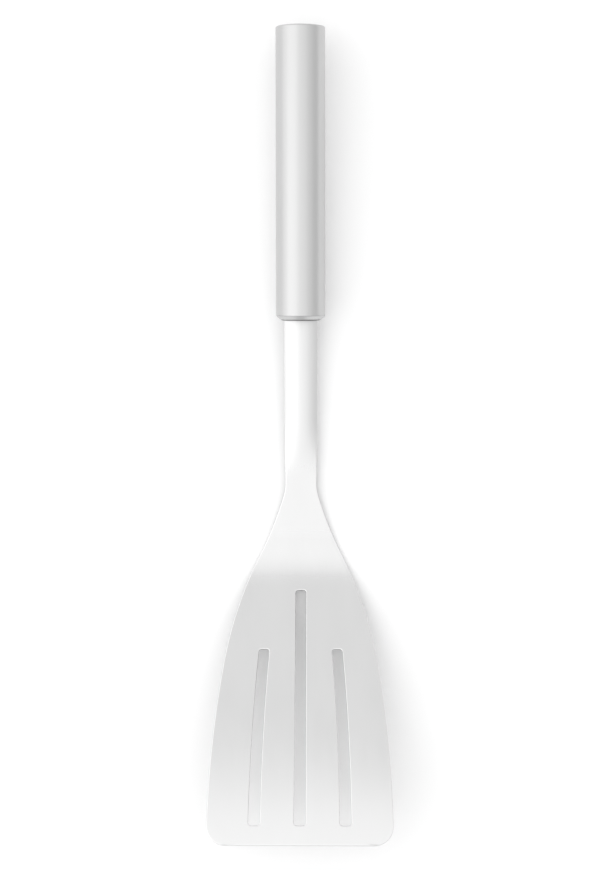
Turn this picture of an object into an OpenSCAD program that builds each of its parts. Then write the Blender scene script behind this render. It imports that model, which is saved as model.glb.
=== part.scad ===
// Slotted kitchen turner.
// One pressed steel sheet makes the blade, the heel bend, the neck and an arc-section shank.
// The shank passes through a collar into a round tubular handle with a hanging eye on its back.
// It lies as on a table, food side up: the heel bend and the rim of the tube touch z = 0.
// +Y points to the handle's closed end.

/* [Handle tube] */
// Outer diameter of the round handle
handle_d = 22; // [20:0.5:28]
// Length of the tube from its front seam to its closed end
tube_l = 127.5; // [100:0.5:160]
// Wall thickness of the tube
tube_wall = 0.8; // [0.6:0.1:1.2]
// Radius on the outer edge of the closed end
tube_edge_r = 0.5; // [0.2:0.1:0.6]

/* [Front collar] */
// Length of the 45 degree chamfer next to the seam
collar_chamfer_l = 1; // [0.5:0.1:2]
// Radius that rolls the chamfer into the front face
collar_nose_r = 4.1; // [2:0.1:5]
// Length of the spigot inside the tube
collar_spigot_l = 8; // [5:0.5:15]
// Gap all round the shank where it enters the collar
collar_gap = 0.35; // [0.2:0.05:0.5]

/* [Shank] */
// Thickness of the sheet
sheet_t = 1.5; // [1:0.1:2]
// Radius on the edges of the sheet
sheet_edge_r = 0.4; // [0.1:0.05:0.45]
// Length of the shank from the tube's seam to the narrow neck
shank_l = 75.3; // [60:0.1:110]
// Width of the shank at the collar
shank_w = 14.5; // [12:0.1:15]
// Height of the arc that the shank is pressed to
crown_h = 2.3; // [1.5:0.1:3]
// Length over which the arc flattens out in front of the neck
crown_fade_l = 31; // [20:0.5:45]
// Length of the tang inside the handle
tang_l = 46; // [40:0.5:60]

/* [Neck and heel] */
// Width at the narrow neck
neck_w = 14; // [12:0.1:15]
// Length of sheet from the narrow neck to the flat blade
neck_l = 42.4; // [36:0.1:55]
// Bend radius at the middle of the sheet
heel_r = 40; // [25:1:60]
// Angle between the shank and the blade
heel_angle = 21.6; // [15:0.1:26]
// Radius of the fillet where the neck starts to widen
neck_fillet_r = 20; // [12:1:30]
// Heading of the edge where that fillet ends
neck_angle = 16.5; // [12:0.5:20]
// Radius of the hollow edge between neck and heel
neck_side_r = 160; // [130:5:190]
// Heading of the edge where it is steepest
flare_angle = 26.5; // [22:0.5:30]

/* [Blade] */
// Length of the flat blade
blade_l = 119.5; // [100:0.5:150]
// Radius of the full edge behind the shoulders
shoulder_r = 176; // [140:2:210]
// Heading of the edge where the long sides begin
side_angle = 9.5; // [8:0.5:12]
// Radius of the long sides
side_r = 490; // [400:10:700]
// Radius of the two tip corners
tip_corner_r = 8.5; // [4:0.5:14]

/* [Slots] */
// Width of each slot at the heel end
slot_heel_w = 4.65; // [4.5:0.05:7]
// Width of each slot at the tip end
slot_tip_w = 5.15; // [4.5:0.05:7]
// Solid strip between the slots and the tip
slot_tip_margin = 8.6; // [6:0.1:15]
// Distance from the start of the flat blade to the middle slot
mid_slot_start = 6.4; // [3:0.1:20]
// Distance from the start of the flat blade to the side slots
side_slot_start = 33.3; // [22:0.1:45]
// Radius in the corners of each slot
slot_corner_r = 1.3; // [0.6:0.1:2]

/* [Hanging eye] */
// Diameter of the blind eye on the back
eye_d = 7; // [5:0.5:8]
// Depth of the eye below the surface of the handle
eye_depth = 9; // [6:0.5:12]
// Wall round the eye
eye_wall = 1.6; // [1.2:0.1:2]
// Distance from the closed end to the middle of the eye
eye_inset = 19; // [16:0.5:30]

/* [Hidden] */

steel_bright = [0.86, 0.87, 0.88];
steel_satin = [0.72, 0.73, 0.74];
seal_grey = [0.24, 0.24, 0.25];
core_ivory = [0.78, 0.77, 0.73];
eye_grey = [0.16, 0.16, 0.17];

cut_over = 1;
slip_gap = 0.15;
round_fn = 96;
across_steps = 6;
edge_limit_share = 0.8;

tube_r = handle_d / 2;
tube_inner_r = tube_r - tube_wall;
plug_r = tube_inner_r - slip_gap;

// Front face of the collar: where the rolled edge ends
collar_roll_r = collar_nose_r * sin(45);
collar_face_r = tube_r - collar_chamfer_l - collar_roll_r;
collar_nose_l = collar_chamfer_l + collar_nose_r * (1 - cos(45));
spigot_chamfer = 0.5;

// The crown of the shank runs along the axis of the tube, so the flat sheet lies below it
shank_drop = crown_h;
arc_half_angle = 2 * atan(crown_h / (shank_w / 2));
arc_r = shank_w / 2 / sin(arc_half_angle);
shank_half_span = (shank_w + sheet_t * sin(arc_half_angle)) / 2;

seal_t = 2;
seal_gap = 0.1;

core_gap = 0.15;
core_l = 34;
core_rib_t = 2.4;
core_rib_h = 0.8;
core_ribs = 5;
core_start = collar_spigot_l + seal_t;

pin_d = 4;
pin_l = 13;
pin_gap = 0.08;
pin_end_shares = [0.25, 0.75];

cap_recess = 0.4;
cap_t = 1.6;
cap_skirt_l = 5;
cap_skirt_t = 1.2;

eye_outer_r = eye_d / 2 + eye_wall;
eye_hole_r = eye_outer_r + slip_gap;
eye_recess = 0.2;

// Distances along the sheet are measured from the start of the flat blade, towards the handle
bend_l = heel_r * heel_angle * PI / 180;
bend_to_seam = shank_l + neck_l - bend_l;
sheet_end = neck_l + shank_l + tang_l;
side_slot_share = 0.489;

// Where each arc of the outline ends, measured from the narrow neck towards the tip
fillet_end = neck_fillet_r * sin(neck_angle);
neck_side_end = fillet_end + neck_side_r * (sin(flare_angle) - sin(neck_angle));
shoulder_end = neck_side_end + shoulder_r * (sin(flare_angle) - sin(side_angle));
fillet_end_w = neck_w / 2 + neck_fillet_r * (1 - cos(neck_angle));
neck_side_end_w = fillet_end_w + neck_side_r * (cos(neck_angle) - cos(flare_angle));
shoulder_end_w = neck_side_end_w + shoulder_r * (cos(side_angle) - cos(flare_angle));

// Height of an arc at the given sine of its heading, as a share of its radius
function arc_rise(sine) = sqrt(1 - sine * sine);

// Half width of the plain outline at distance d from the narrow neck towards the tip
function outline_w(d) =
    d < 0 ? neck_w / 2 + (shank_w - neck_w) / 2 * min(-d / shank_l, 1) :
    d < fillet_end ? neck_w / 2 + neck_fillet_r * (1 - arc_rise(d / neck_fillet_r)) :
    d < neck_side_end ? fillet_end_w + neck_side_r
        * (cos(neck_angle) - arc_rise(sin(neck_angle) + (d - fillet_end) / neck_side_r)) :
    d < shoulder_end ? neck_side_end_w + shoulder_r
        * (arc_rise(sin(flare_angle) - (d - neck_side_end) / shoulder_r) - cos(flare_angle)) :
    shoulder_end_w + side_r
        * (arc_rise(sin(side_angle) - (d - shoulder_end) / side_r) - cos(side_angle));

// Half width of the sheet at distance v from the flat blade's start, with the tip corners round
function half_w(v) =
    let (to_tip = v + blade_l, cut = max(tip_corner_r - to_tip, 0))
    outline_w(neck_l - v) - tip_corner_r + sqrt(max(tip_corner_r * tip_corner_r - cut * cut, 0));

// Height of the pressed arc: none on the neck and blade, full on the shank
function crown(v) =
    let (q = min(max((v - neck_l) / crown_fade_l, 0), 1))
    crown_h * q * q * (3 - 2 * q);

// Thickness of the sheet, with the tip's edge rounded
function thickness(v) =
    let (cut = max(sheet_edge_r - v - blade_l, 0))
    sheet_t - 2 * (sheet_edge_r - sqrt(max(sheet_edge_r * sheet_edge_r - cut * cut, 0)));

// Middle of the sheet seen from the side, as [y, z, pitch], with the flat blade on z = 0
function pitch(v) = min(max(v, 0), bend_l) / bend_l * heel_angle;
function path(v) =
    let (a = pitch(v), past = max(v - bend_l, 0))
    [min(v, 0) + heel_r * sin(a) + past * cos(a), heel_r * (1 - cos(a)) + past * sin(a), a];

// A point of the cross section, from its place across and its height, at distance v
function section_point(v, x, h) =
    let (p = path(v))
    [x, p[0] - h * sin(p[2]), p[1] + h * cos(p[2])];

// One closed ring round the sheet at distance v: top, one edge, underside, other edge
function ring(v) =
    let (t = thickness(v) / 2, r = min(sheet_edge_r, edge_limit_share * t))
    let (w = half_w(v) - r, c = crown(v))
    let (a = 2 * atan(c / w), k = a > 0.001 ? w / sin(a) : 0)
    let (turns = [for (i = [-across_steps:across_steps]) i / across_steps])
    let (mid = [for (q = turns) k > 0
        ? [k * sin(a * q), k * (cos(a * q) - cos(a)), a * q]
        : [w * q, 0, 0]])
    let (m = mid[2 * across_steps])
    let (edge = [for (s = [45, 90]) [
        m[0] + (t - r) * sin(a) + r * sin(a + s),
        m[1] + (t - r) * cos(a) + r * cos(a + s)]])
    let (low_edge = [for (s = [90, 135]) [
        m[0] - (t - r) * sin(a) + r * sin(a + s),
        m[1] - (t - r) * cos(a) + r * cos(a + s)]])
    let (side = concat(edge, low_edge))
    concat(
        [for (p = mid) section_point(v, p[0] + t * sin(p[2]), p[1] + t * cos(p[2]))],
        [for (p = side) section_point(v, p[0], p[1])],
        [for (i = [len(mid) - 1:-1:0])
            section_point(v, mid[i][0] - t * sin(mid[i][2]), mid[i][1] - t * cos(mid[i][2]))],
        [for (i = [len(side) - 1:-1:0]) section_point(v, -side[i][0], side[i][1])]);

// Evenly spaced values from a to b, without b
function spread(a, b, n) = [for (i = [0:n - 1]) a + (b - a) * i / n];

// Places of the rings, from the tip to the end of the tang
tip_line = -blade_l;
stations = concat(
    [for (a = [0, 45]) tip_line + sheet_edge_r * (1 - cos(a))],
    [for (a = [18:12:78]) tip_line + tip_corner_r * (1 - cos(a))],
    spread(tip_line + tip_corner_r, neck_l - shoulder_end, 7),
    spread(neck_l - shoulder_end, 0, 7),
    spread(0, bend_l, 8),
    spread(bend_l, neck_l - fillet_end, 4),
    spread(neck_l - fillet_end, neck_l, 5),
    spread(neck_l, neck_l + crown_fade_l, 10),
    [neck_l + crown_fade_l, neck_l + shank_l, sheet_end]);

// Faces that close a ring: a strip between each point of the top and the one below it
side_points = 4;
top_points = 2 * across_steps + 1;
ring_points = 2 * (top_points + side_points);
function wrap(j) = (j + ring_points) % ring_points;
function end_faces() = [
    for (j = [-side_points / 2:top_points + side_points / 2 - 2])
        let (below = 2 * top_points + side_points - 1 - j)
        [wrap(j), wrap(j + 1), wrap(below - 1), wrap(below)]];
function backwards(face) = [for (i = [len(face) - 1:-1:0]) face[i]];

// A solid through a list of rings round the sheet
module loft(rings) {
    n = ring_points;
    last = len(rings) - 1;
    polyhedron(
        points = [for (r = rings) each r],
        faces = concat(
            end_faces(),
            [for (k = [0:last - 1]) for (i = [0:n - 1])
                [k * n + i, (k + 1) * n + i, (k + 1) * n + wrap(i + 1), k * n + wrap(i + 1)]],
            [for (f = end_faces()) [for (i = backwards(f)) last * n + i]]),
        convexity = 6);
}

// Slot outline on the flat blade: its middle line follows a share of the blade's half width
slot_end = blade_l - slot_tip_margin;
function slot_side(start, share, side) = [
    for (q = [0:0.1:1])
        let (
            d = start + slot_corner_r + (slot_end - start - 2 * slot_corner_r) * q,
            w = slot_heel_w + (slot_tip_w - slot_heel_w) * (d - start) / (slot_end - start))
        [share * half_w(-d) + side * w / 2, -d]];
function corner(centre, from) = [
    for (a = [from:22.5:from + 90])
        [centre[0] + slot_corner_r * cos(a), centre[1] + slot_corner_r * sin(a)]];
module slot(start, share) {
    right = slot_side(start, share, 1);
    left = slot_side(start, share, -1);
    n = len(right) - 1;
    inward = [slot_corner_r, 0];
    translate([0, 0, -sheet_t])
        linear_extrude(2 * sheet_t)
            polygon(concat(
                corner(right[0] - inward, 0),
                corner(left[0] + inward, 90),
                [for (i = [1:n - 1]) left[i]],
                corner(left[n] + inward, 180),
                corner(right[n] - inward, 270),
                [for (i = [n - 1:-1:1]) right[i]]));
}

module pressed_sheet() {
    difference() {
        loft([for (v = stations) ring(v)]);
        slot(mid_slot_start, 0);
        slot(side_slot_start, side_slot_share);
        slot(side_slot_start, -side_slot_share);
    }
}

// From the flat blade's own frame to the handle's, whose axis is Y with the seam at y = 0
module on_handle() {
    translate([0, -bend_to_seam, -shank_drop])
        rotate([-heel_angle, 0, 0])
            translate([0, -heel_r * sin(heel_angle), -heel_r * (1 - cos(heel_angle))])
                children();
}

// Rest pose: a line from the tube's lower rim, tangent to the underside of the heel bend
rest_reach = norm([bend_to_seam, tube_r - shank_drop + heel_r]);
rest_tilt = atan2(tube_r - shank_drop + heel_r, bend_to_seam)
    - asin((heel_r + sheet_t / 2) / rest_reach);
blade_tilt = heel_angle - rest_tilt;

// Ends of the object along Y in the rest pose, before it is centred
far_end_y = (tube_l - tube_edge_r) * cos(rest_tilt) + (tube_r - tube_edge_r) * sin(rest_tilt)
    + tube_edge_r;
tip_edge = [blade_l - sheet_edge_r, sheet_t / 2 - sheet_edge_r];
tip_end_y = -bend_to_seam * cos(rest_tilt) + shank_drop * sin(rest_tilt)
    - heel_r * (sin(rest_tilt) + sin(blade_tilt))
    - tip_edge[0] * cos(blade_tilt) - tip_edge[1] * sin(blade_tilt) - sheet_edge_r;

module placed() {
    translate([0, -(far_end_y + tip_end_y) / 2, tube_r * cos(rest_tilt)])
        rotate([rest_tilt, 0, 0])
            children();
}

// A solid of revolution about the handle's axis, from points [radius, y]
module turned(points) {
    rotate([-90, 0, 0])
        mirror([0, 1, 0])
            rotate_extrude($fn = round_fn)
                polygon(points);
}

module turned_rod(r, y0, y1) {
    turned([[0, y0], [r, y0], [r, y1], [0, y1]]);
}

// The space of the arc-section shank with a gap all round, from y0 to y1
module shank_space(gap, y0, y1) {
    half = shank_half_span + gap;
    intersection() {
        translate([0, 0, -arc_r])
            difference() {
                turned_rod(arc_r + sheet_t / 2 + gap, y0, y1);
                turned_rod(arc_r - sheet_t / 2 - gap, y0 - cut_over, y1 + cut_over);
            }
        translate([-half, y0 - cut_over, -crown_h - sheet_t])
            cube([2 * half, y1 - y0 + 2 * cut_over, crown_h + 2 * sheet_t + gap]);
    }
}

// The hollow below the pressed arc, down to the level where the two core halves meet
module arc_hollow(gap) {
    half = shank_half_span + core_gap;
    intersection() {
        translate([0, 0, -arc_r])
            turned_rod(arc_r - sheet_t / 2 - gap, core_start, core_start + core_l);
        translate([-half, core_start, -crown_h - core_gap])
            cube([2 * half, core_l, crown_h + core_gap]);
    }
}

module core_body() {
    turned_rod(plug_r - core_rib_h, core_start, core_start + core_l);
    pitch_y = (core_l - core_rib_t) / (core_ribs - 1);
    for (i = [0:core_ribs - 1])
        turned_rod(plug_r, core_start + i * pitch_y, core_start + i * pitch_y + core_rib_t);
}

module pins(r, l) {
    for (share = pin_end_shares)
        translate([0, core_start + core_l * share, -l / 2])
            cylinder(r = r, h = l, $fn = round_fn);
}

module half_space(z0, up) {
    side = 2 * tube_r;
    translate([-side / 2, core_start - cut_over, up ? z0 : z0 - side])
        cube([side, core_l + 2 * cut_over, side]);
}

module blade_and_shank() {
    color(steel_bright)
        placed()
            difference() {
                on_handle() pressed_sheet();
                pins(pin_d / 2 + slip_gap, pin_l);
            }
}

module handle_tube() {
    color(steel_satin)
        placed()
            difference() {
                turned(concat(
                    [[tube_inner_r, 0], [tube_r, 0]],
                    [for (a = [0:22.5:90]) [
                        tube_r - tube_edge_r * (1 - cos(a)),
                        tube_l - tube_edge_r * (1 - sin(a))]],
                    [[tube_inner_r, tube_l]]));
                translate([0, tube_l - eye_inset, -tube_r - cut_over])
                    cylinder(r = eye_hole_r, h = tube_r, $fn = round_fn);
            }
}

module front_collar() {
    color(steel_satin)
        placed()
            difference() {
                turned(concat(
                    [[0, -collar_nose_l], [collar_face_r, -collar_nose_l]],
                    [for (a = [9:9:45]) [
                        collar_face_r + collar_nose_r * sin(a),
                        collar_nose_r * (1 - cos(a)) - collar_nose_l]],
                    [[tube_r, 0], [plug_r, 0], [plug_r, collar_spigot_l - spigot_chamfer],
                        [plug_r - spigot_chamfer, collar_spigot_l], [0, collar_spigot_l]]));
                shank_space(collar_gap, -collar_nose_l - cut_over, collar_spigot_l + cut_over);
            }
}

module collar_seal() {
    color(seal_grey)
        placed()
            difference() {
                turned_rod(plug_r, collar_spigot_l, core_start);
                shank_space(seal_gap, collar_spigot_l - cut_over, core_start + cut_over);
            }
}

module tang_core_upper() {
    color(core_ivory)
        placed()
            difference() {
                intersection() {
                    core_body();
                    half_space(core_gap / 2 - crown_h, true);
                }
                shank_space(core_gap, core_start - cut_over, core_start + core_l + cut_over);
                translate([0, 0, -arc_r])
                    turned_rod(arc_r, core_start - cut_over, core_start + core_l + cut_over);
                pins(pin_d / 2 + pin_gap, pin_l);
            }
}

module tang_core_lower() {
    color(core_ivory)
        placed()
            difference() {
                union() {
                    intersection() {
                        core_body();
                        half_space(-crown_h - core_gap / 2, false);
                    }
                    arc_hollow(core_gap);
                }
                shank_space(core_gap, core_start - cut_over, core_start + core_l + cut_over);
                pins(pin_d / 2 + pin_gap, pin_l);
            }
}

module tang_pins() {
    color(steel_satin)
        placed()
            pins(pin_d / 2, pin_l - 2 * core_gap);
}

// A plug across the tube that follows its inside at the front and its outside at the back
module hanging_eye_insert() {
    reach = eye_outer_r + cut_over;
    color(eye_grey)
        placed()
            translate([0, tube_l - eye_inset, 0])
                difference() {
                    intersection() {
                        translate([0, 0, -tube_r])
                            cylinder(r = eye_outer_r, h = 2 * tube_r, $fn = round_fn);
                        union() {
                            turned_rod(plug_r, -reach, reach);
                            intersection() {
                                turned_rod(tube_r - eye_recess, -reach, reach);
                                translate([-reach, -reach, -tube_r])
                                    cube([2 * reach, 2 * reach, tube_r]);
                            }
                        }
                    }
                    translate([0, 0, -tube_r - cut_over])
                        cylinder(r = eye_d / 2, h = eye_depth + cut_over, $fn = round_fn);
                }
}

module end_cap() {
    outer = tube_l - cap_recess;
    inner = outer - cap_t;
    color(steel_satin)
        placed()
            turned([[0, inner], [plug_r - cap_skirt_t, inner], [plug_r - cap_skirt_t, inner - cap_skirt_l],
                [plug_r, inner - cap_skirt_l], [plug_r, outer], [0, outer]]);
}

blade_and_shank();
handle_tube();
front_collar();
collar_seal();
tang_core_upper();
tang_core_lower();
tang_pins();
hanging_eye_insert();
end_cap();
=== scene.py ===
import math

import bmesh
import bpy
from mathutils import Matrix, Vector


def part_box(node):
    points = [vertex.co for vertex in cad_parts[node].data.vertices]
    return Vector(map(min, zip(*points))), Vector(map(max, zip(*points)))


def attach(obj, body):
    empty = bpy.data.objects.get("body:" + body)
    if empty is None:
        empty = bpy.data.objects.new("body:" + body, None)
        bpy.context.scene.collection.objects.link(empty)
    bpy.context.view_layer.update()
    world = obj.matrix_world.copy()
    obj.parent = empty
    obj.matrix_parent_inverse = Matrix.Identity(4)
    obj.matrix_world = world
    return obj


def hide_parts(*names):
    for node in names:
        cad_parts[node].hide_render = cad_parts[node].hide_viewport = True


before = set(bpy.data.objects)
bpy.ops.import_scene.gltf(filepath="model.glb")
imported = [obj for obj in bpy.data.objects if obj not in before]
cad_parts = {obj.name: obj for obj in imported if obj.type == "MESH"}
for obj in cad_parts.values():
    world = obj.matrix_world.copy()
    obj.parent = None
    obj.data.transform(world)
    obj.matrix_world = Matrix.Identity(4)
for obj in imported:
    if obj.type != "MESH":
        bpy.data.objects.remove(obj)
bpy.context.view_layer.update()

# The camera looks down on the turner from 0.9 m above the table, slightly from the right.
# The top of its picture points to the closed end of the handle.
camera_height = 0.900
camera_right = 0.015
camera_aim_x = -0.0005
camera_aim_y = -0.0016
camera_lens = 82.4

bpy.ops.object.camera_add(location=(camera_right, camera_aim_y, camera_height))
camera = bpy.context.object
camera.name = "camera_above_table"
camera.rotation_euler.y = math.atan((camera_right - camera_aim_x) / camera_height)
camera.data.lens = camera_lens
camera.data.sensor_width = 36
camera.data.clip_start = 0.01
bpy.context.scene.camera = camera
bpy.context.scene.view_settings.view_transform = "Standard"

# The studio is a white room, a little brighter on its left. Two softboxes overlap above the table,
# a third one leans in from the left, and the steel mirrors all of it.
room_left = 1.20
room_right = 0.82


def softbox(name, width, length, place, aim, radiance):
    """An even rectangular lamp of the given radiance, turned to its aim."""
    bpy.ops.object.light_add(type="AREA", location=place)
    lamp = bpy.context.object
    lamp.name = name
    lamp.data.shape = "RECTANGLE"
    lamp.data.size = width
    lamp.data.size_y = length
    lamp.data.energy = math.pi * width * length * radiance
    lamp.rotation_euler = (Vector(aim) - Vector(place)).to_track_quat("-Z", "Y").to_euler()
    return lamp


softbox("softbox_above_wide", width=4.80, length=1.34,
        place=(-0.400, -0.23, 1.30), aim=(-0.400, -0.23, 0), radiance=0.16)
softbox("softbox_above_narrow", width=3.35, length=1.28,
        place=(-0.925, -0.26, 1.25), aim=(-0.925, -0.26, 0), radiance=0.16)
softbox("softbox_left", width=1.77, length=1.60,
        place=(-0.85, 0, 0.65), aim=(-0.17, 0, -0.08), radiance=0.19)

room = bpy.data.worlds.new("white_room")
bpy.context.scene.world = room
room.use_nodes = True
room_nodes = room.node_tree.nodes
room_links = room.node_tree.links
room_nodes.clear()
room_place = room_nodes.new("ShaderNodeTexCoord")
room_side = room_nodes.new("ShaderNodeSeparateXYZ")
room_level = room_nodes.new("ShaderNodeMapRange")
room_level.inputs["From Min"].default_value = -1
room_level.inputs["From Max"].default_value = 1
room_level.inputs["To Min"].default_value = room_left
room_level.inputs["To Max"].default_value = room_right
room_light = room_nodes.new("ShaderNodeBackground")
room_light.inputs["Color"].default_value = (1, 1, 1, 1)
room_wall = room_nodes.new("ShaderNodeBackground")
room_wall.inputs["Color"].default_value = (1, 1, 1, 1)
room_wall.inputs["Strength"].default_value = 1
room_rays = room_nodes.new("ShaderNodeLightPath")
room_mix = room_nodes.new("ShaderNodeMixShader")
room_output = room_nodes.new("ShaderNodeOutputWorld")
room_links.new(room_place.outputs["Generated"], room_side.inputs[0])
room_links.new(room_side.outputs["X"], room_level.inputs["Value"])
room_links.new(room_level.outputs["Result"], room_light.inputs["Strength"])
room_links.new(room_rays.outputs["Is Camera Ray"], room_mix.inputs["Fac"])
room_links.new(room_light.outputs[0], room_mix.inputs[1])
room_links.new(room_wall.outputs[0], room_mix.inputs[2])
room_links.new(room_mix.outputs[0], room_output.inputs["Surface"])

# The table is a sheet of matt white board. It takes the soft shadow of the turner, and the rest of it
# reaches plain white where the camera or the steel sees it.
table_side = 8
table_drop = 0.0001
board_white = 0.86
board_lift = 0.10

bpy.ops.mesh.primitive_plane_add(size=table_side, location=(0, 0, -table_drop))
table = bpy.context.object
table.name = "white_table"
board = bpy.data.materials.new("matt_white_board")
board.use_nodes = True
board_nodes = board.node_tree.nodes
board_links = board.node_tree.links
board_nodes.clear()
board_rays = board_nodes.new("ShaderNodeLightPath")
board_seen = board_nodes.new("ShaderNodeMath")
board_seen.operation = "MAXIMUM"
board_glow = board_nodes.new("ShaderNodeMath")
board_glow.operation = "MULTIPLY"
board_glow.inputs[1].default_value = board_lift
board_paint = board_nodes.new("ShaderNodeBsdfDiffuse")
board_paint.inputs["Color"].default_value = (board_white, board_white, board_white, 1)
board_light = board_nodes.new("ShaderNodeEmission")
board_sum = board_nodes.new("ShaderNodeAddShader")
board_output = board_nodes.new("ShaderNodeOutputMaterial")
board_links.new(board_rays.outputs["Is Camera Ray"], board_seen.inputs[0])
board_links.new(board_rays.outputs["Is Glossy Ray"], board_seen.inputs[1])
board_links.new(board_seen.outputs[0], board_glow.inputs[0])
board_links.new(board_glow.outputs[0], board_light.inputs["Strength"])
board_links.new(board_paint.outputs[0], board_sum.inputs[0])
board_links.new(board_light.outputs[0], board_sum.inputs[1])
board_links.new(board_sum.outputs[0], board_output.inputs["Surface"])
table.data.materials.append(board)

# Blade and shank: one sheet of 1.5 mm stainless steel, blanked to its outline with three slots.
# It is bent at the heel, and the shank is pressed to an arc that stiffens it. Its edges are deburred.
# It is modelled with the handle's axis along Y and the seam of the handle at y = 0.
handle_r = 0.011
sheet_t = 0.0015
sheet_edge_r = 0.0004
shank_l = 0.0753
shank_w = 0.0145
crown_h = 0.0023
crown_fade_l = 0.031
tang_l = 0.046
neck_w = 0.014
neck_l = 0.0424
heel_r = 0.040
heel_angle = math.radians(21.6)
neck_fillet_r = 0.020
neck_angle = math.radians(16.5)
neck_side_r = 0.160
flare_angle = math.radians(26.5)
blade_l = 0.1195
shoulder_r = 0.176
side_angle = math.radians(9.5)
side_r = 0.490
tip_corner_r = 0.0085
slot_heel_w = 0.00465
slot_tip_w = 0.00515
slot_tip_margin = 0.0086
mid_slot_start = 0.0064
side_slot_start = 0.0333
slot_corner_r = 0.0013
side_slot_share = 0.489
pin_hole_r = 0.00215
pin_places = (0.0185, 0.0355)

bend_l = heel_r * heel_angle
bend_start = shank_l + neck_l - bend_l
fillet_end = neck_fillet_r * math.sin(neck_angle)
neck_side_end = fillet_end + neck_side_r * (math.sin(flare_angle) - math.sin(neck_angle))
shoulder_end = neck_side_end + shoulder_r * (math.sin(flare_angle) - math.sin(side_angle))
fillet_end_w = neck_w / 2 + neck_fillet_r * (1 - math.cos(neck_angle))
neck_side_end_w = fillet_end_w + neck_side_r * (math.cos(neck_angle) - math.cos(flare_angle))
shoulder_end_w = neck_side_end_w + shoulder_r * (math.cos(side_angle) - math.cos(flare_angle))

# Rest pose: the underside of the heel bend and the tube's front rim touch the table.
rest_reach = math.hypot(bend_start, handle_r - crown_h + heel_r)
rest_tilt = (math.atan2(handle_r - crown_h + heel_r, bend_start)
             - math.asin((heel_r + sheet_t / 2) / rest_reach))
seam_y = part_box("handle_tube")[0].y + handle_r * math.sin(rest_tilt)
seam_z = handle_r * math.cos(rest_tilt)

# Points are picked by their place, to within a hair
hair = 0.00001


def open_piece(piece):
    """Take one piece alone into edit mode."""
    bpy.ops.object.select_all(action="DESELECT")
    bpy.context.view_layer.objects.active = piece
    piece.select_set(True)
    bpy.ops.object.mode_set(mode="EDIT")


def close_piece():
    bpy.ops.object.mode_set(mode="OBJECT")


def pick(piece, wanted):
    """Select the points of the open piece whose place passes the test."""
    bpy.ops.mesh.select_all(action="DESELECT")
    mesh = bmesh.from_edit_mesh(piece.data)
    for point in mesh.verts:
        if wanted(point.co):
            point.select = True
    mesh.select_flush(True)


def shift(x, y, z):
    bpy.ops.transform.translate(value=(x, y, z))


def tip_up(angle, y, z):
    """Turn the selection about a line across the turner, so that its -Y end goes up."""
    bpy.ops.transform.rotate(value=angle, orient_axis="X", center_override=(0, y, z))


def apply_modifier(piece, kind, **settings):
    """Give the piece one modifier and apply it."""
    bpy.ops.object.select_all(action="DESELECT")
    bpy.context.view_layer.objects.active = piece
    piece.select_set(True)
    modifier = piece.modifiers.new(kind.lower(), kind)
    for name, value in settings.items():
        setattr(modifier, name, value)
    bpy.ops.object.modifier_apply(modifier=modifier.name)


def cut_away(piece, cutter):
    """Take the cutter's space out of the piece and delete the cutter."""
    apply_modifier(piece, "BOOLEAN", operation="DIFFERENCE", solver="EXACT", object=cutter)
    bpy.data.objects.remove(cutter)


def lay_down(piece):
    """Bring a piece from the handle's own axis into the rest pose on the table."""
    open_piece(piece)
    bpy.ops.mesh.select_all(action="SELECT")
    tip_up(-rest_tilt, 0, 0)
    shift(0, seam_y, seam_z)
    close_piece()


def arc_rise(sine):
    return math.sqrt(1 - sine * sine)


def outline_w(d):
    """Half the width of the sheet at a distance past the narrow neck, with square tip corners."""
    if d < 0:
        return neck_w / 2 + (shank_w - neck_w) / 2 * min(-d / shank_l, 1)
    if d < fillet_end:
        return neck_w / 2 + neck_fillet_r * (1 - arc_rise(d / neck_fillet_r))
    if d < neck_side_end:
        sine = math.sin(neck_angle) + (d - fillet_end) / neck_side_r
        return fillet_end_w + neck_side_r * (math.cos(neck_angle) - arc_rise(sine))
    if d < shoulder_end:
        sine = math.sin(flare_angle) - (d - neck_side_end) / shoulder_r
        return neck_side_end_w + shoulder_r * (arc_rise(sine) - math.cos(flare_angle))
    sine = math.sin(side_angle) - (d - shoulder_end) / side_r
    return shoulder_end_w + side_r * (arc_rise(sine) - math.cos(side_angle))


def crown(d):
    """Height of the pressed arc at a distance past the narrow neck: it fades out in front of it."""
    q = min(max(-d / crown_fade_l, 0), 1)
    return crown_h * q * q * (3 - 2 * q)


def spread(a, b, steps):
    """Evenly spaced values after a, up to b."""
    return [a + (b - a) * (i + 1) / steps for i in range(steps)]


# The arc of the shank's cross section, measured where the sheet's edge starts to turn
arc_w = shank_w / 2 - sheet_edge_r
arc_half_angle = 2 * math.atan(crown_h / arc_w)
arc_r = arc_w / math.sin(arc_half_angle)


def arc_z(x):
    return math.sqrt(arc_r * arc_r - x * x) - arc_r * math.cos(arc_half_angle)


def arc_strip(name, half_width, y0, y1):
    """One strip of the arc section without thickness, from y0 to y1."""
    columns = 12
    bpy.ops.mesh.primitive_grid_add(x_subdivisions=columns, y_subdivisions=1, size=1, calc_uvs=False)
    strip = bpy.context.object
    strip.name = name
    open_piece(strip)
    bpy.ops.mesh.select_all(action="SELECT")
    bpy.ops.transform.resize(value=(2 * half_width, y1 - y0, 1), center_override=(0, 0, 0))
    shift(0, (y0 + y1) / 2, arc_z(half_width) - crown_h)
    steps = columns // 2
    for i in range(steps - 1, -1, -1):
        x = half_width * i / steps
        pick(strip, lambda p: abs(p.x) < x + half_width / (2 * steps))
        shift(0, 0, arc_z(x) - arc_z(half_width * (i + 1) / steps))
    close_piece()
    return strip


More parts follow.
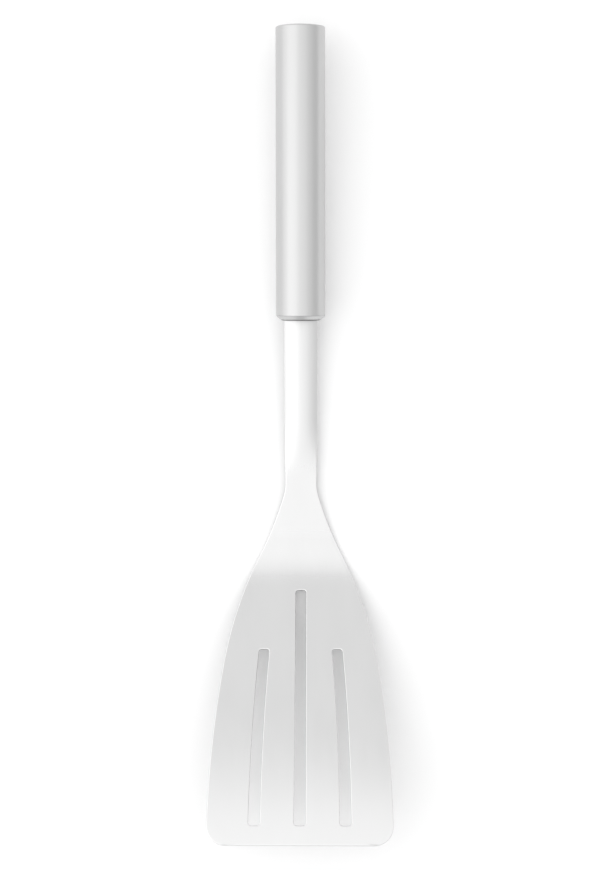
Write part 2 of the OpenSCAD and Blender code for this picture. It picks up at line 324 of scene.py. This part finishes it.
# The strip in the tang is drawn out row by row to the tip, as flat as the blank is before bending.
# The rows on the blade keep clear of the ends of the slots.
sheet = arc_strip("pressed_blade_and_shank", outline_w(-shank_l), 0, tang_l)
heel_rows = (0.0032, 0.0102, 0.0150, 0.0205, 0.0260, 0.0312)
last_even_row = 0.1070
blank_rows = (spread(-shank_l, -crown_fade_l, 3)
              + spread(-crown_fade_l, 0, 18)
              + spread(0, fillet_end, 5)
              + spread(fillet_end, neck_l - bend_l, 9)
              + spread(neck_l - bend_l, neck_l, 16)
              + [neck_l + s for s in heel_rows]
              + [neck_l + s for s in spread(heel_rows[-1], last_even_row, 13)])
open_piece(sheet)
bpy.ops.mesh.select_mode(type="VERT")
pick(sheet, lambda p: p.y < tang_l / 2)
row_d = -shank_l
for next_d in blank_rows:
    bpy.ops.mesh.extrude_region_move(TRANSFORM_OT_translate={"value": (0, row_d - next_d, 0)})
    flatter = crown(next_d) / crown(row_d) if crown(row_d) > 0 else 1
    wider = outline_w(next_d) / outline_w(row_d)
    bpy.ops.transform.resize(value=(wider, 1, flatter), center_override=(0, 0, -crown_h))
    row_d = next_d

# The last rows fan out, so that their ends follow the round corners and the tip stays straight
tip_d = neck_l + blade_l
corner_rows = 8
corner_start = tip_d - tip_corner_r
fan_l = 0.0073
fan_start = tip_d - fan_l
edge_share = 0.99
end_d = row_d
end_y = -shank_l - end_d
end_w = outline_w(row_d)
for k in range(corner_rows + 1):
    turn = math.pi / 2 * k / corner_rows
    next_d = fan_start + (tip_d - fan_start) * k / corner_rows
    next_end_d = corner_start + tip_corner_r * math.sin(turn)
    next_end_w = outline_w(next_end_d) - tip_corner_r * (1 - math.cos(turn))
    bpy.ops.mesh.extrude_region_move(TRANSFORM_OT_translate={"value": (0, row_d - next_d, 0)})
    bpy.ops.transform.resize(value=(next_end_w / end_w, 1, 1), center_override=(0, 0, 0))
    row_y = -shank_l - next_d
    pick(sheet, lambda p: abs(p.x) > edge_share * next_end_w and p.y < end_y - hair)
    shift(0, (end_d - next_end_d) - (row_d - next_d), 0)
    end_y = -shank_l - next_end_d
    pick(sheet, lambda p: abs(p.y - (end_y if abs(p.x) > edge_share * next_end_w else row_y)) < hair)
    row_d = next_d
    end_d = next_end_d
    end_w = next_end_w

close_piece()

# The blank is mapped while it is flat, so that the grain of the steel follows the sheet round its bends
map_side = 0.3
map_seam_v = 0.84
blank_map = sheet.data.uv_layers.new(name="flat_blank")
for corner in sheet.data.loops:
    place = sheet.data.vertices[corner.vertex_index].co
    blank_map.data[corner.index].uv = (0.5 + place.x / map_side, map_seam_v + place.y / map_side)

# The heel is bent in small steps, the fold next to the blade first. Both end folds are half as sharp.
open_piece(sheet)
folds = 16
for k in range(folds, -1, -1):
    fold_y = -(bend_start + bend_l * k / folds)
    pick(sheet, lambda p: p.y < fold_y - hair)
    tip_up(heel_angle / folds * (0.5 if k in (0, folds) else 1), fold_y, -crown_h)
bpy.ops.mesh.select_all(action="SELECT")
bpy.ops.mesh.normals_make_consistent(inside=False)
close_piece()

# The sheet gets its thickness, and a place in its list of finishes for each kind of surface
underside_finish, edge_polish_and_highlight_finish, top_finish, wall_steel_and_shade_finish = range(4)
for finish in range(4):
    sheet.data.materials.append(None)
apply_modifier(sheet, "SOLIDIFY", thickness=sheet_t, offset=0, use_even_offset=True,
               use_quality_normals=True, material_offset=top_finish)


def slot_cutter(start, share):
    """The tool for one slot: a strip on the flat blade, drawn out along the slot's middle line."""
    slot_end = blade_l - slot_tip_margin
    rows = spread(start, slot_end, 8)

    def middle(s):
        return share * outline_w(neck_l + s)

    def width(s):
        return slot_heel_w + (slot_tip_w - slot_heel_w) * (s - start) / (slot_end - start)

    bpy.ops.mesh.primitive_plane_add(size=1)
    cutter = bpy.context.object
    open_piece(cutter)
    bpy.ops.mesh.select_all(action="SELECT")
    bpy.ops.transform.resize(value=(width(start), rows[0] - start, 1), center_override=(0, 0, 0))
    shift(middle(start), -(start + rows[0]) / 2, -sheet_t)
    pick(cutter, lambda p: p.y < -rows[0] + hair)
    shift(middle(rows[0]) - middle(start), 0, 0)
    for s, last in zip(rows[1:], rows):
        move = (middle(s) - middle(last), last - s, 0)
        wider = width(s) / width(last)
        bpy.ops.mesh.extrude_region_move(TRANSFORM_OT_translate={"value": move})
        bpy.ops.transform.resize(value=(wider, 1, 1), center_override=(middle(s), -s, 0))
    pick(cutter, lambda p: p.y > -start - hair or p.y < -slot_end + hair)
    bpy.ops.mesh.bevel(offset=slot_corner_r, segments=5, affect="VERTICES")
    bpy.ops.mesh.select_all(action="SELECT")
    bpy.ops.mesh.extrude_region_move(TRANSFORM_OT_translate={"value": (0, 0, 2 * sheet_t)})
    bpy.ops.mesh.select_all(action="SELECT")
    bpy.ops.mesh.normals_make_consistent(inside=False)
    tip_up(heel_angle, 0, 0)
    shift(0, -bend_start - heel_r * math.sin(heel_angle), heel_r * (1 - math.cos(heel_angle)) - crown_h)
    close_piece()
    return cutter


cut_away(sheet, slot_cutter(mid_slot_start, 0))
cut_away(sheet, slot_cutter(side_slot_start, side_slot_share))
cut_away(sheet, slot_cutter(side_slot_start, -side_slot_share))

# The edges are deburred all round, and leave a narrow band of the punched wall between them, painted dark:
# partly duller punched steel, partly painted shade
steep = 0.5
apply_modifier(sheet, "BEVEL", width=sheet_edge_r, segments=3, limit_method="ANGLE",
               angle_limit=math.radians(50), material=edge_polish_and_highlight_finish)
for face in sheet.data.polygons:
    if face.material_index != edge_polish_and_highlight_finish and abs(face.normal.z) < steep:
        face.material_index = wall_steel_and_shade_finish


def finish_shape(piece):
    """Shade a finished piece smooth, with its wide faces kept even and its sharp edges sharp."""
    bpy.ops.object.select_all(action="DESELECT")
    bpy.context.view_layer.objects.active = piece
    piece.select_set(True)
    bpy.ops.object.shade_smooth_by_angle(angle=math.radians(35))
    apply_modifier(piece, "WEIGHTED_NORMAL", keep_sharp=True)


# Two holes in the tang take the pins that hold it in its core
drill_l = 0.01
drill_sides = 48
for place in pin_places:
    bpy.ops.mesh.primitive_cylinder_add(vertices=drill_sides, radius=pin_hole_r, depth=drill_l,
                                        location=(0, place, 0))
    cut_away(sheet, bpy.context.object)
lay_down(sheet)
finish_shape(sheet)


def steel(name, greys, polish, grain, tilt=0.0, mapped=False):
    """Stainless steel: a grain along Y of the given width and length, over wide soft clouds.

    The grain tilts with the handle, or follows the map of the flat blank.
    """
    metal = bpy.data.materials.new(name)
    metal.use_nodes = True
    nodes = metal.node_tree.nodes
    links = metal.node_tree.links
    shader = nodes["Principled BSDF"]
    shader.inputs["Metallic"].default_value = 1
    place = nodes.new("ShaderNodeTexCoord")
    side = map_side if mapped else 1
    cloud = (0.012, 0.030)
    textures = []
    for width, length, detail in (grain + (3,), cloud + (2,)):
        mapping = nodes.new("ShaderNodeMapping")
        mapping.vector_type = "TEXTURE"
        mapping.inputs["Rotation"].default_value = (tilt, 0, 0)
        mapping.inputs["Scale"].default_value = (width / side, length / side, width / side)
        noise = nodes.new("ShaderNodeTexNoise")
        noise.inputs["Scale"].default_value = 1
        noise.inputs["Detail"].default_value = detail
        links.new(place.outputs["UV" if mapped else "Object"], mapping.inputs["Vector"])
        links.new(mapping.outputs["Vector"], noise.inputs["Vector"])
        textures.append(noise)
    lines, clouds = textures
    mixed = nodes.new("ShaderNodeMath")
    mixed.operation = "ADD"
    links.new(lines.outputs["Fac"], mixed.inputs[0])
    links.new(clouds.outputs["Fac"], mixed.inputs[1])
    for low, high, socket in ((greys[0], greys[1], "Base Color"), (polish[0], polish[1], "Roughness")):
        level = nodes.new("ShaderNodeMapRange")
        level.inputs["From Min"].default_value = 0.6
        level.inputs["From Max"].default_value = 1.4
        level.inputs["To Min"].default_value = low
        level.inputs["To Max"].default_value = high
        links.new(mixed.outputs[0], level.inputs["Value"])
        links.new(level.outputs["Result"], shader.inputs[socket])
    relief = nodes.new("ShaderNodeBump")
    relief.inputs["Strength"].default_value = 0.5
    relief.inputs["Distance"].default_value = 0.000004
    links.new(lines.outputs["Fac"], relief.inputs["Height"])
    links.new(relief.outputs["Normal"], shader.inputs["Normal"])
    return metal


# The top is satin finished, and the press leaves the shank and the bend at the heel duller than the
# blade: a row of the roughness that is added at each distance from the seam, from the blade up
dull_places = ((0.1230, 0.10), (0.1140, 0.36), (0.1005, 0.36), (0.0930, 0.12),
               (0.0840, 0.14), (0.0720, 0.24), (0.0540, 0.32))
satin = steel("satin_sheet_steel", (0.68, 0.71), (0.00, 0.04), (0.00025, 0.012), mapped=True)
satin_nodes = satin.node_tree.nodes
satin_links = satin.node_tree.links
satin_shader = satin_nodes["Principled BSDF"]
satin_level = satin_shader.inputs["Roughness"].links[0].from_socket
satin_place = satin_nodes.new("ShaderNodeTexCoord")
satin_side = satin_nodes.new("ShaderNodeSeparateXYZ")
satin_zones = satin_nodes.new("ShaderNodeValToRGB")
satin_sum = satin_nodes.new("ShaderNodeMath")
satin_sum.operation = "ADD"
ramp = satin_zones.color_ramp
for d, dull in dull_places:
    ramp.elements.new(map_seam_v - d / map_side).color = (dull, dull, dull, 1)
ramp.elements.remove(ramp.elements[0])
ramp.elements.remove(ramp.elements[-1])
satin_links.new(satin_place.outputs["UV"], satin_side.inputs[0])
satin_links.new(satin_side.outputs["Y"], satin_zones.inputs["Fac"])
satin_links.new(satin_zones.outputs["Color"], satin_sum.inputs[0])
satin_links.new(satin_level, satin_sum.inputs[1])
satin_links.new(satin_sum.outputs[0], satin_shader.inputs["Roughness"])
sheet.data.materials[top_finish] = satin
# The punched walls are painted dark grey: partly the duller cut steel, partly painted shade on the walls
sheet.data.materials[wall_steel_and_shade_finish] = steel(
    "punched_wall_steel_and_painted_shade", (0.25, 0.32), (0.36, 0.44), (0.0003, 0.0003), mapped=True)
# The deburred rounds are painted lighter than the top: partly real polish, partly a painted highlight
# along the edges
sheet.data.materials[edge_polish_and_highlight_finish] = steel(
    "deburred_edge_polish_and_highlight", (0.74, 0.78), (0.15, 0.20), (0.0004, 0.003), mapped=True)
sheet.data.materials[underside_finish] = steel(
    "mill_sheet_steel", (0.48, 0.53), (0.26, 0.32), (0.0005, 0.006), mapped=True)
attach(sheet, "root")
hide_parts("blade_and_shank")

# Handle tube: drawn stainless tube of 22 mm with a wall of 0.8 mm and a matt finish along its length.
# Its closed end is rounded over, and the hanging eye comes through a hole in its back.
tube_l = 0.1275
tube_wall = 0.0008
tube_edge_r = 0.00075
seam_edge_r = 0.00012
eye_inset = 0.019
eye_hole_r = 0.00525
tube_inner_r = handle_r - tube_wall
ring_sides = 128
bore_sides = 96


def turned_piece(name, profile, ring=False):
    """Draw a circle round the handle's axis out along a profile of (radius, y), then close it."""

    def on(corner):
        r, y = corner
        return lambda p: abs(math.hypot(p.x, p.z) - r) < hair / 2 and abs(p.y - y) < hair / 2

    bpy.ops.mesh.primitive_circle_add(vertices=ring_sides, radius=profile[0][0],
                                      location=(0, profile[0][1], 0), rotation=(math.pi / 2, 0, 0))
    piece = bpy.context.object
    piece.name = name
    bpy.ops.object.transform_apply(location=True, rotation=True, scale=True)
    open_piece(piece)
    bpy.ops.mesh.select_mode(type="VERT")
    bpy.ops.mesh.select_all(action="SELECT")
    for (last_r, last_y), (r, y) in zip(profile, profile[1:]):
        bpy.ops.mesh.extrude_region_move(TRANSFORM_OT_translate={"value": (0, y - last_y, 0)})
        bpy.ops.transform.resize(value=(r / last_r, 1, r / last_r), center_override=(0, y, 0))
    first, last = on(profile[0]), on(profile[-1])
    if ring:
        pick(piece, lambda p: first(p) or last(p))
        bpy.ops.mesh.bridge_edge_loops()
    else:
        for end in (first, last):
            pick(piece, end)
            bpy.ops.mesh.edge_face_add()
    bpy.ops.mesh.select_all(action="SELECT")
    bpy.ops.mesh.normals_make_consistent(inside=False)
    close_piece()
    return piece


def rounded(r, y, radius, start, end, steps=5):
    """Points of an arc about (r, y) from one heading to another, in degrees from the radius."""
    turns = [math.radians(start + (end - start) * i / steps) for i in range(steps + 1)]
    return [(r + radius * math.cos(a), y + radius * math.sin(a)) for a in turns]


tube = turned_piece("drawn_handle_tube", (
    [(tube_inner_r, 0)]
    + rounded(handle_r - seam_edge_r, seam_edge_r, seam_edge_r, -90, 0, 3)
    + rounded(handle_r - tube_edge_r, tube_l - tube_edge_r, tube_edge_r, 0, 90, 6)
    + [(tube_inner_r, tube_l)]), ring=True)
bpy.ops.mesh.primitive_cylinder_add(vertices=bore_sides, radius=eye_hole_r, depth=handle_r,
                                    location=(0, tube_l - eye_inset, -handle_r))
cut_away(tube, bpy.context.object)
lay_down(tube)
finish_shape(tube)
tube.data.materials.append(steel(
    "matt_tube_steel", (0.555, 0.575), (0.29, 0.32), (0.0002, 0.009), tilt=rest_tilt))
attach(tube, "root")
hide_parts("handle_tube")

# Front collar: a turned steel plug that is pressed into the tube and closes it round the shank.
# A 45 degree chamfer at the seam rolls into its flat front, where the arc-shaped opening is cut.
collar_chamfer_l = 0.001
collar_nose_r = 0.0041
collar_spigot_l = 0.008
collar_gap = 0.00035
spigot_chamfer = 0.0005
slip_gap = 0.00015
opening_edge_r = 0.0002
plug_r = tube_inner_r - slip_gap
collar_roll_r = collar_nose_r * math.sin(math.pi / 4)
collar_face_r = handle_r - collar_chamfer_l - collar_roll_r
collar_nose_l = collar_chamfer_l + collar_nose_r * (1 - math.cos(math.pi / 4))
opening_half_w = shank_w / 2 + sheet_edge_r + collar_gap

collar = turned_piece("rolled_front_collar", (
    [(plug_r - spigot_chamfer, collar_spigot_l),
     (plug_r, collar_spigot_l - spigot_chamfer),
     (plug_r, 0),
     (handle_r - seam_edge_r, 0),
     (handle_r, -seam_edge_r / 2)]
    + rounded(collar_face_r, collar_nose_r - collar_nose_l, collar_nose_r, -45, -90, 8)))
collar.data.materials.append(steel(
    "turned_collar_steel", (0.56, 0.60), (0.26, 0.32), (0.0003, 0.0003), tilt=rest_tilt))
opening = arc_strip("shank_opening", opening_half_w, -2 * collar_nose_l, 2 * collar_spigot_l)
apply_modifier(opening, "SOLIDIFY", thickness=sheet_t + 2 * collar_gap, offset=0, use_even_offset=True)
cut_away(collar, opening)
apply_modifier(collar, "BEVEL", width=opening_edge_r, segments=3, limit_method="ANGLE",
               angle_limit=math.radians(60))

# The front face, from the foot of the roll to the inside of the opening, is painted nearly black: painted
# shade for the gap round the shank
roll_foot = -0.88
gap_shade_finish = 1
collar.data.materials.append(steel(
    "painted_gap_shade_steel", (0.14, 0.19), (0.40, 0.48), (0.0004, 0.0004), tilt=rest_tilt))
for face in collar.data.polygons:
    inside = math.hypot(face.center.x, face.center.z) < collar_face_r
    if face.normal.y < roll_foot or (face.center.y < 0 and inside):
        face.material_index = gap_shade_finish
lay_down(collar)
finish_shape(collar)
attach(collar, "root")
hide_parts("front_collar")

# End cap: a shallow steel cup that is pressed into the closed end until it sits just inside the rim.
# Its outer face is turned, and its skirt grips the inside of the tube.
cap_recess = 0.0004
cap_t = 0.0016
cap_skirt_l = 0.005
cap_skirt_t = 0.0012
cap_edge_r = 0.0003
cap_outer = tube_l - cap_recess
cap_inner = cap_outer - cap_t

cap = turned_piece("pressed_end_cap", (
    [(plug_r - cap_skirt_t, cap_inner),
     (plug_r - cap_skirt_t, cap_inner - cap_skirt_l),
     (plug_r, cap_inner - cap_skirt_l)]
    + rounded(plug_r - cap_edge_r, cap_outer - cap_edge_r, cap_edge_r, 0, 90, 4)))
lay_down(cap)
finish_shape(cap)
cap.data.materials.append(steel(
    "turned_cap_steel", (0.535, 0.565), (0.20, 0.25), (0.0004, 0.0004), tilt=rest_tilt))
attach(cap, "root")
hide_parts("end_cap")

# Hanging eye: a moulded black plug across the tube, which fills the hole in the back of the handle.
# A blind round hole in it goes over a rail hook, with an edge that leads the hook in.
eye_r = 0.0035
eye_wall = 0.0016
eye_depth = 0.009
eye_recess = 0.0002
eye_lead = 0.0004
eye_y = tube_l - eye_inset
eye_face_r = handle_r - eye_recess

# The plug is a round bar across the handle, trimmed by a rod that is wider below its middle
rod_half_l = 0.01
rod = turned_piece("eye_outline", [(plug_r, eye_y - rod_half_l), (plug_r, eye_y + rod_half_l)])
open_piece(rod)
pick(rod, lambda p: p.z < 0)
bpy.ops.transform.resize(value=(eye_face_r / plug_r, 1, eye_face_r / plug_r), center_override=(0, 0, 0))
close_piece()
bpy.ops.mesh.primitive_cylinder_add(vertices=bore_sides, radius=eye_r + eye_wall,
                                    depth=3 * handle_r, location=(0, eye_y, 0))
eye = bpy.context.object
eye.name = "moulded_hanging_eye"
bpy.ops.object.transform_apply(location=True, rotation=True, scale=True)
apply_modifier(eye, "BOOLEAN", operation="INTERSECT", solver="EXACT", object=rod)
bpy.data.objects.remove(rod)

# The tool for the hole is a round bar that widens where it passes the mouth
bpy.ops.mesh.primitive_cylinder_add(vertices=bore_sides, radius=eye_r, depth=eye_depth - eye_lead,
                                    location=(0, eye_y, -handle_r + (eye_depth + eye_lead) / 2))
bore = bpy.context.object
bpy.ops.object.transform_apply(location=True, rotation=True, scale=True)
open_piece(bore)
bpy.ops.mesh.select_mode(type="VERT")
pick(bore, lambda p: p.z < -handle_r + eye_lead + hair / 2)
wider = (eye_r + eye_lead) / eye_r
bpy.ops.mesh.extrude_region_move(TRANSFORM_OT_translate={"value": (0, 0, -eye_lead)})
bpy.ops.transform.resize(value=(wider, wider, 1), center_override=(0, eye_y, 0))
close_piece()
cut_away(eye, bore)
lay_down(eye)
finish_shape(eye)


def moulded_plastic(name, colour, roughness, texture_size):
    """A solid-coloured moulding with the fine matt texture of its mould."""
    plastic = bpy.data.materials.new(name)
    plastic.use_nodes = True
    nodes = plastic.node_tree.nodes
    links = plastic.node_tree.links
    shader = nodes["Principled BSDF"]
    place = nodes.new("ShaderNodeTexCoord")
    mapping = nodes.new("ShaderNodeMapping")
    mapping.vector_type = "TEXTURE"
    mapping.inputs["Scale"].default_value = (texture_size, texture_size, texture_size)
    noise = nodes.new("ShaderNodeTexNoise")
    noise.inputs["Scale"].default_value = 1
    noise.inputs["Detail"].default_value = 3
    tint = nodes.new("ShaderNodeMixRGB")
    tint.inputs["Color1"].default_value = tuple(0.85 * c for c in colour) + (1,)
    tint.inputs["Color2"].default_value = tuple(1.15 * c for c in colour) + (1,)
    gloss = nodes.new("ShaderNodeMapRange")
    gloss.inputs["To Min"].default_value = roughness - 0.06
    gloss.inputs["To Max"].default_value = roughness + 0.06
    relief = nodes.new("ShaderNodeBump")
    relief.inputs["Strength"].default_value = 0.4
    relief.inputs["Distance"].default_value = 0.00002
    links.new(place.outputs["Object"], mapping.inputs["Vector"])
    links.new(mapping.outputs["Vector"], noise.inputs["Vector"])
    links.new(noise.outputs["Fac"], tint.inputs["Fac"])
    links.new(noise.outputs["Fac"], gloss.inputs["Value"])
    links.new(noise.outputs["Fac"], relief.inputs["Height"])
    links.new(tint.outputs["Color"], shader.inputs["Base Color"])
    links.new(gloss.outputs["Result"], shader.inputs["Roughness"])
    links.new(relief.outputs["Normal"], shader.inputs["Normal"])
    return plastic


eye.data.materials.append(moulded_plastic("black_eye_moulding", (0.03, 0.03, 0.032), 0.45, 0.0004))
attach(eye, "root")
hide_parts("hanging_eye_insert")

# Inside the handle: a soft seal behind the collar, two ribbed core halves that clamp the tang,
# and two pins through both and the tang. They keep the CAD's own shapes and get their finishes here.
def dress(node, material):
    """Give a CAD node the one material."""
    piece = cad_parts[node]
    piece.data.materials.clear()
    piece.data.materials.append(material)


core_ivory = moulded_plastic("ivory_core_moulding", (0.62, 0.58, 0.48), 0.5, 0.0005)
dress("collar_seal", moulded_plastic("dark_seal_rubber", (0.045, 0.045, 0.047), 0.75, 0.0003))
dress("tang_core_upper", core_ivory)
dress("tang_core_lower", core_ivory)
dress("tang_pins", steel("bright_pin_steel", (0.60, 0.66), (0.22, 0.28), (0.0002, 0.0002), tilt=rest_tilt))
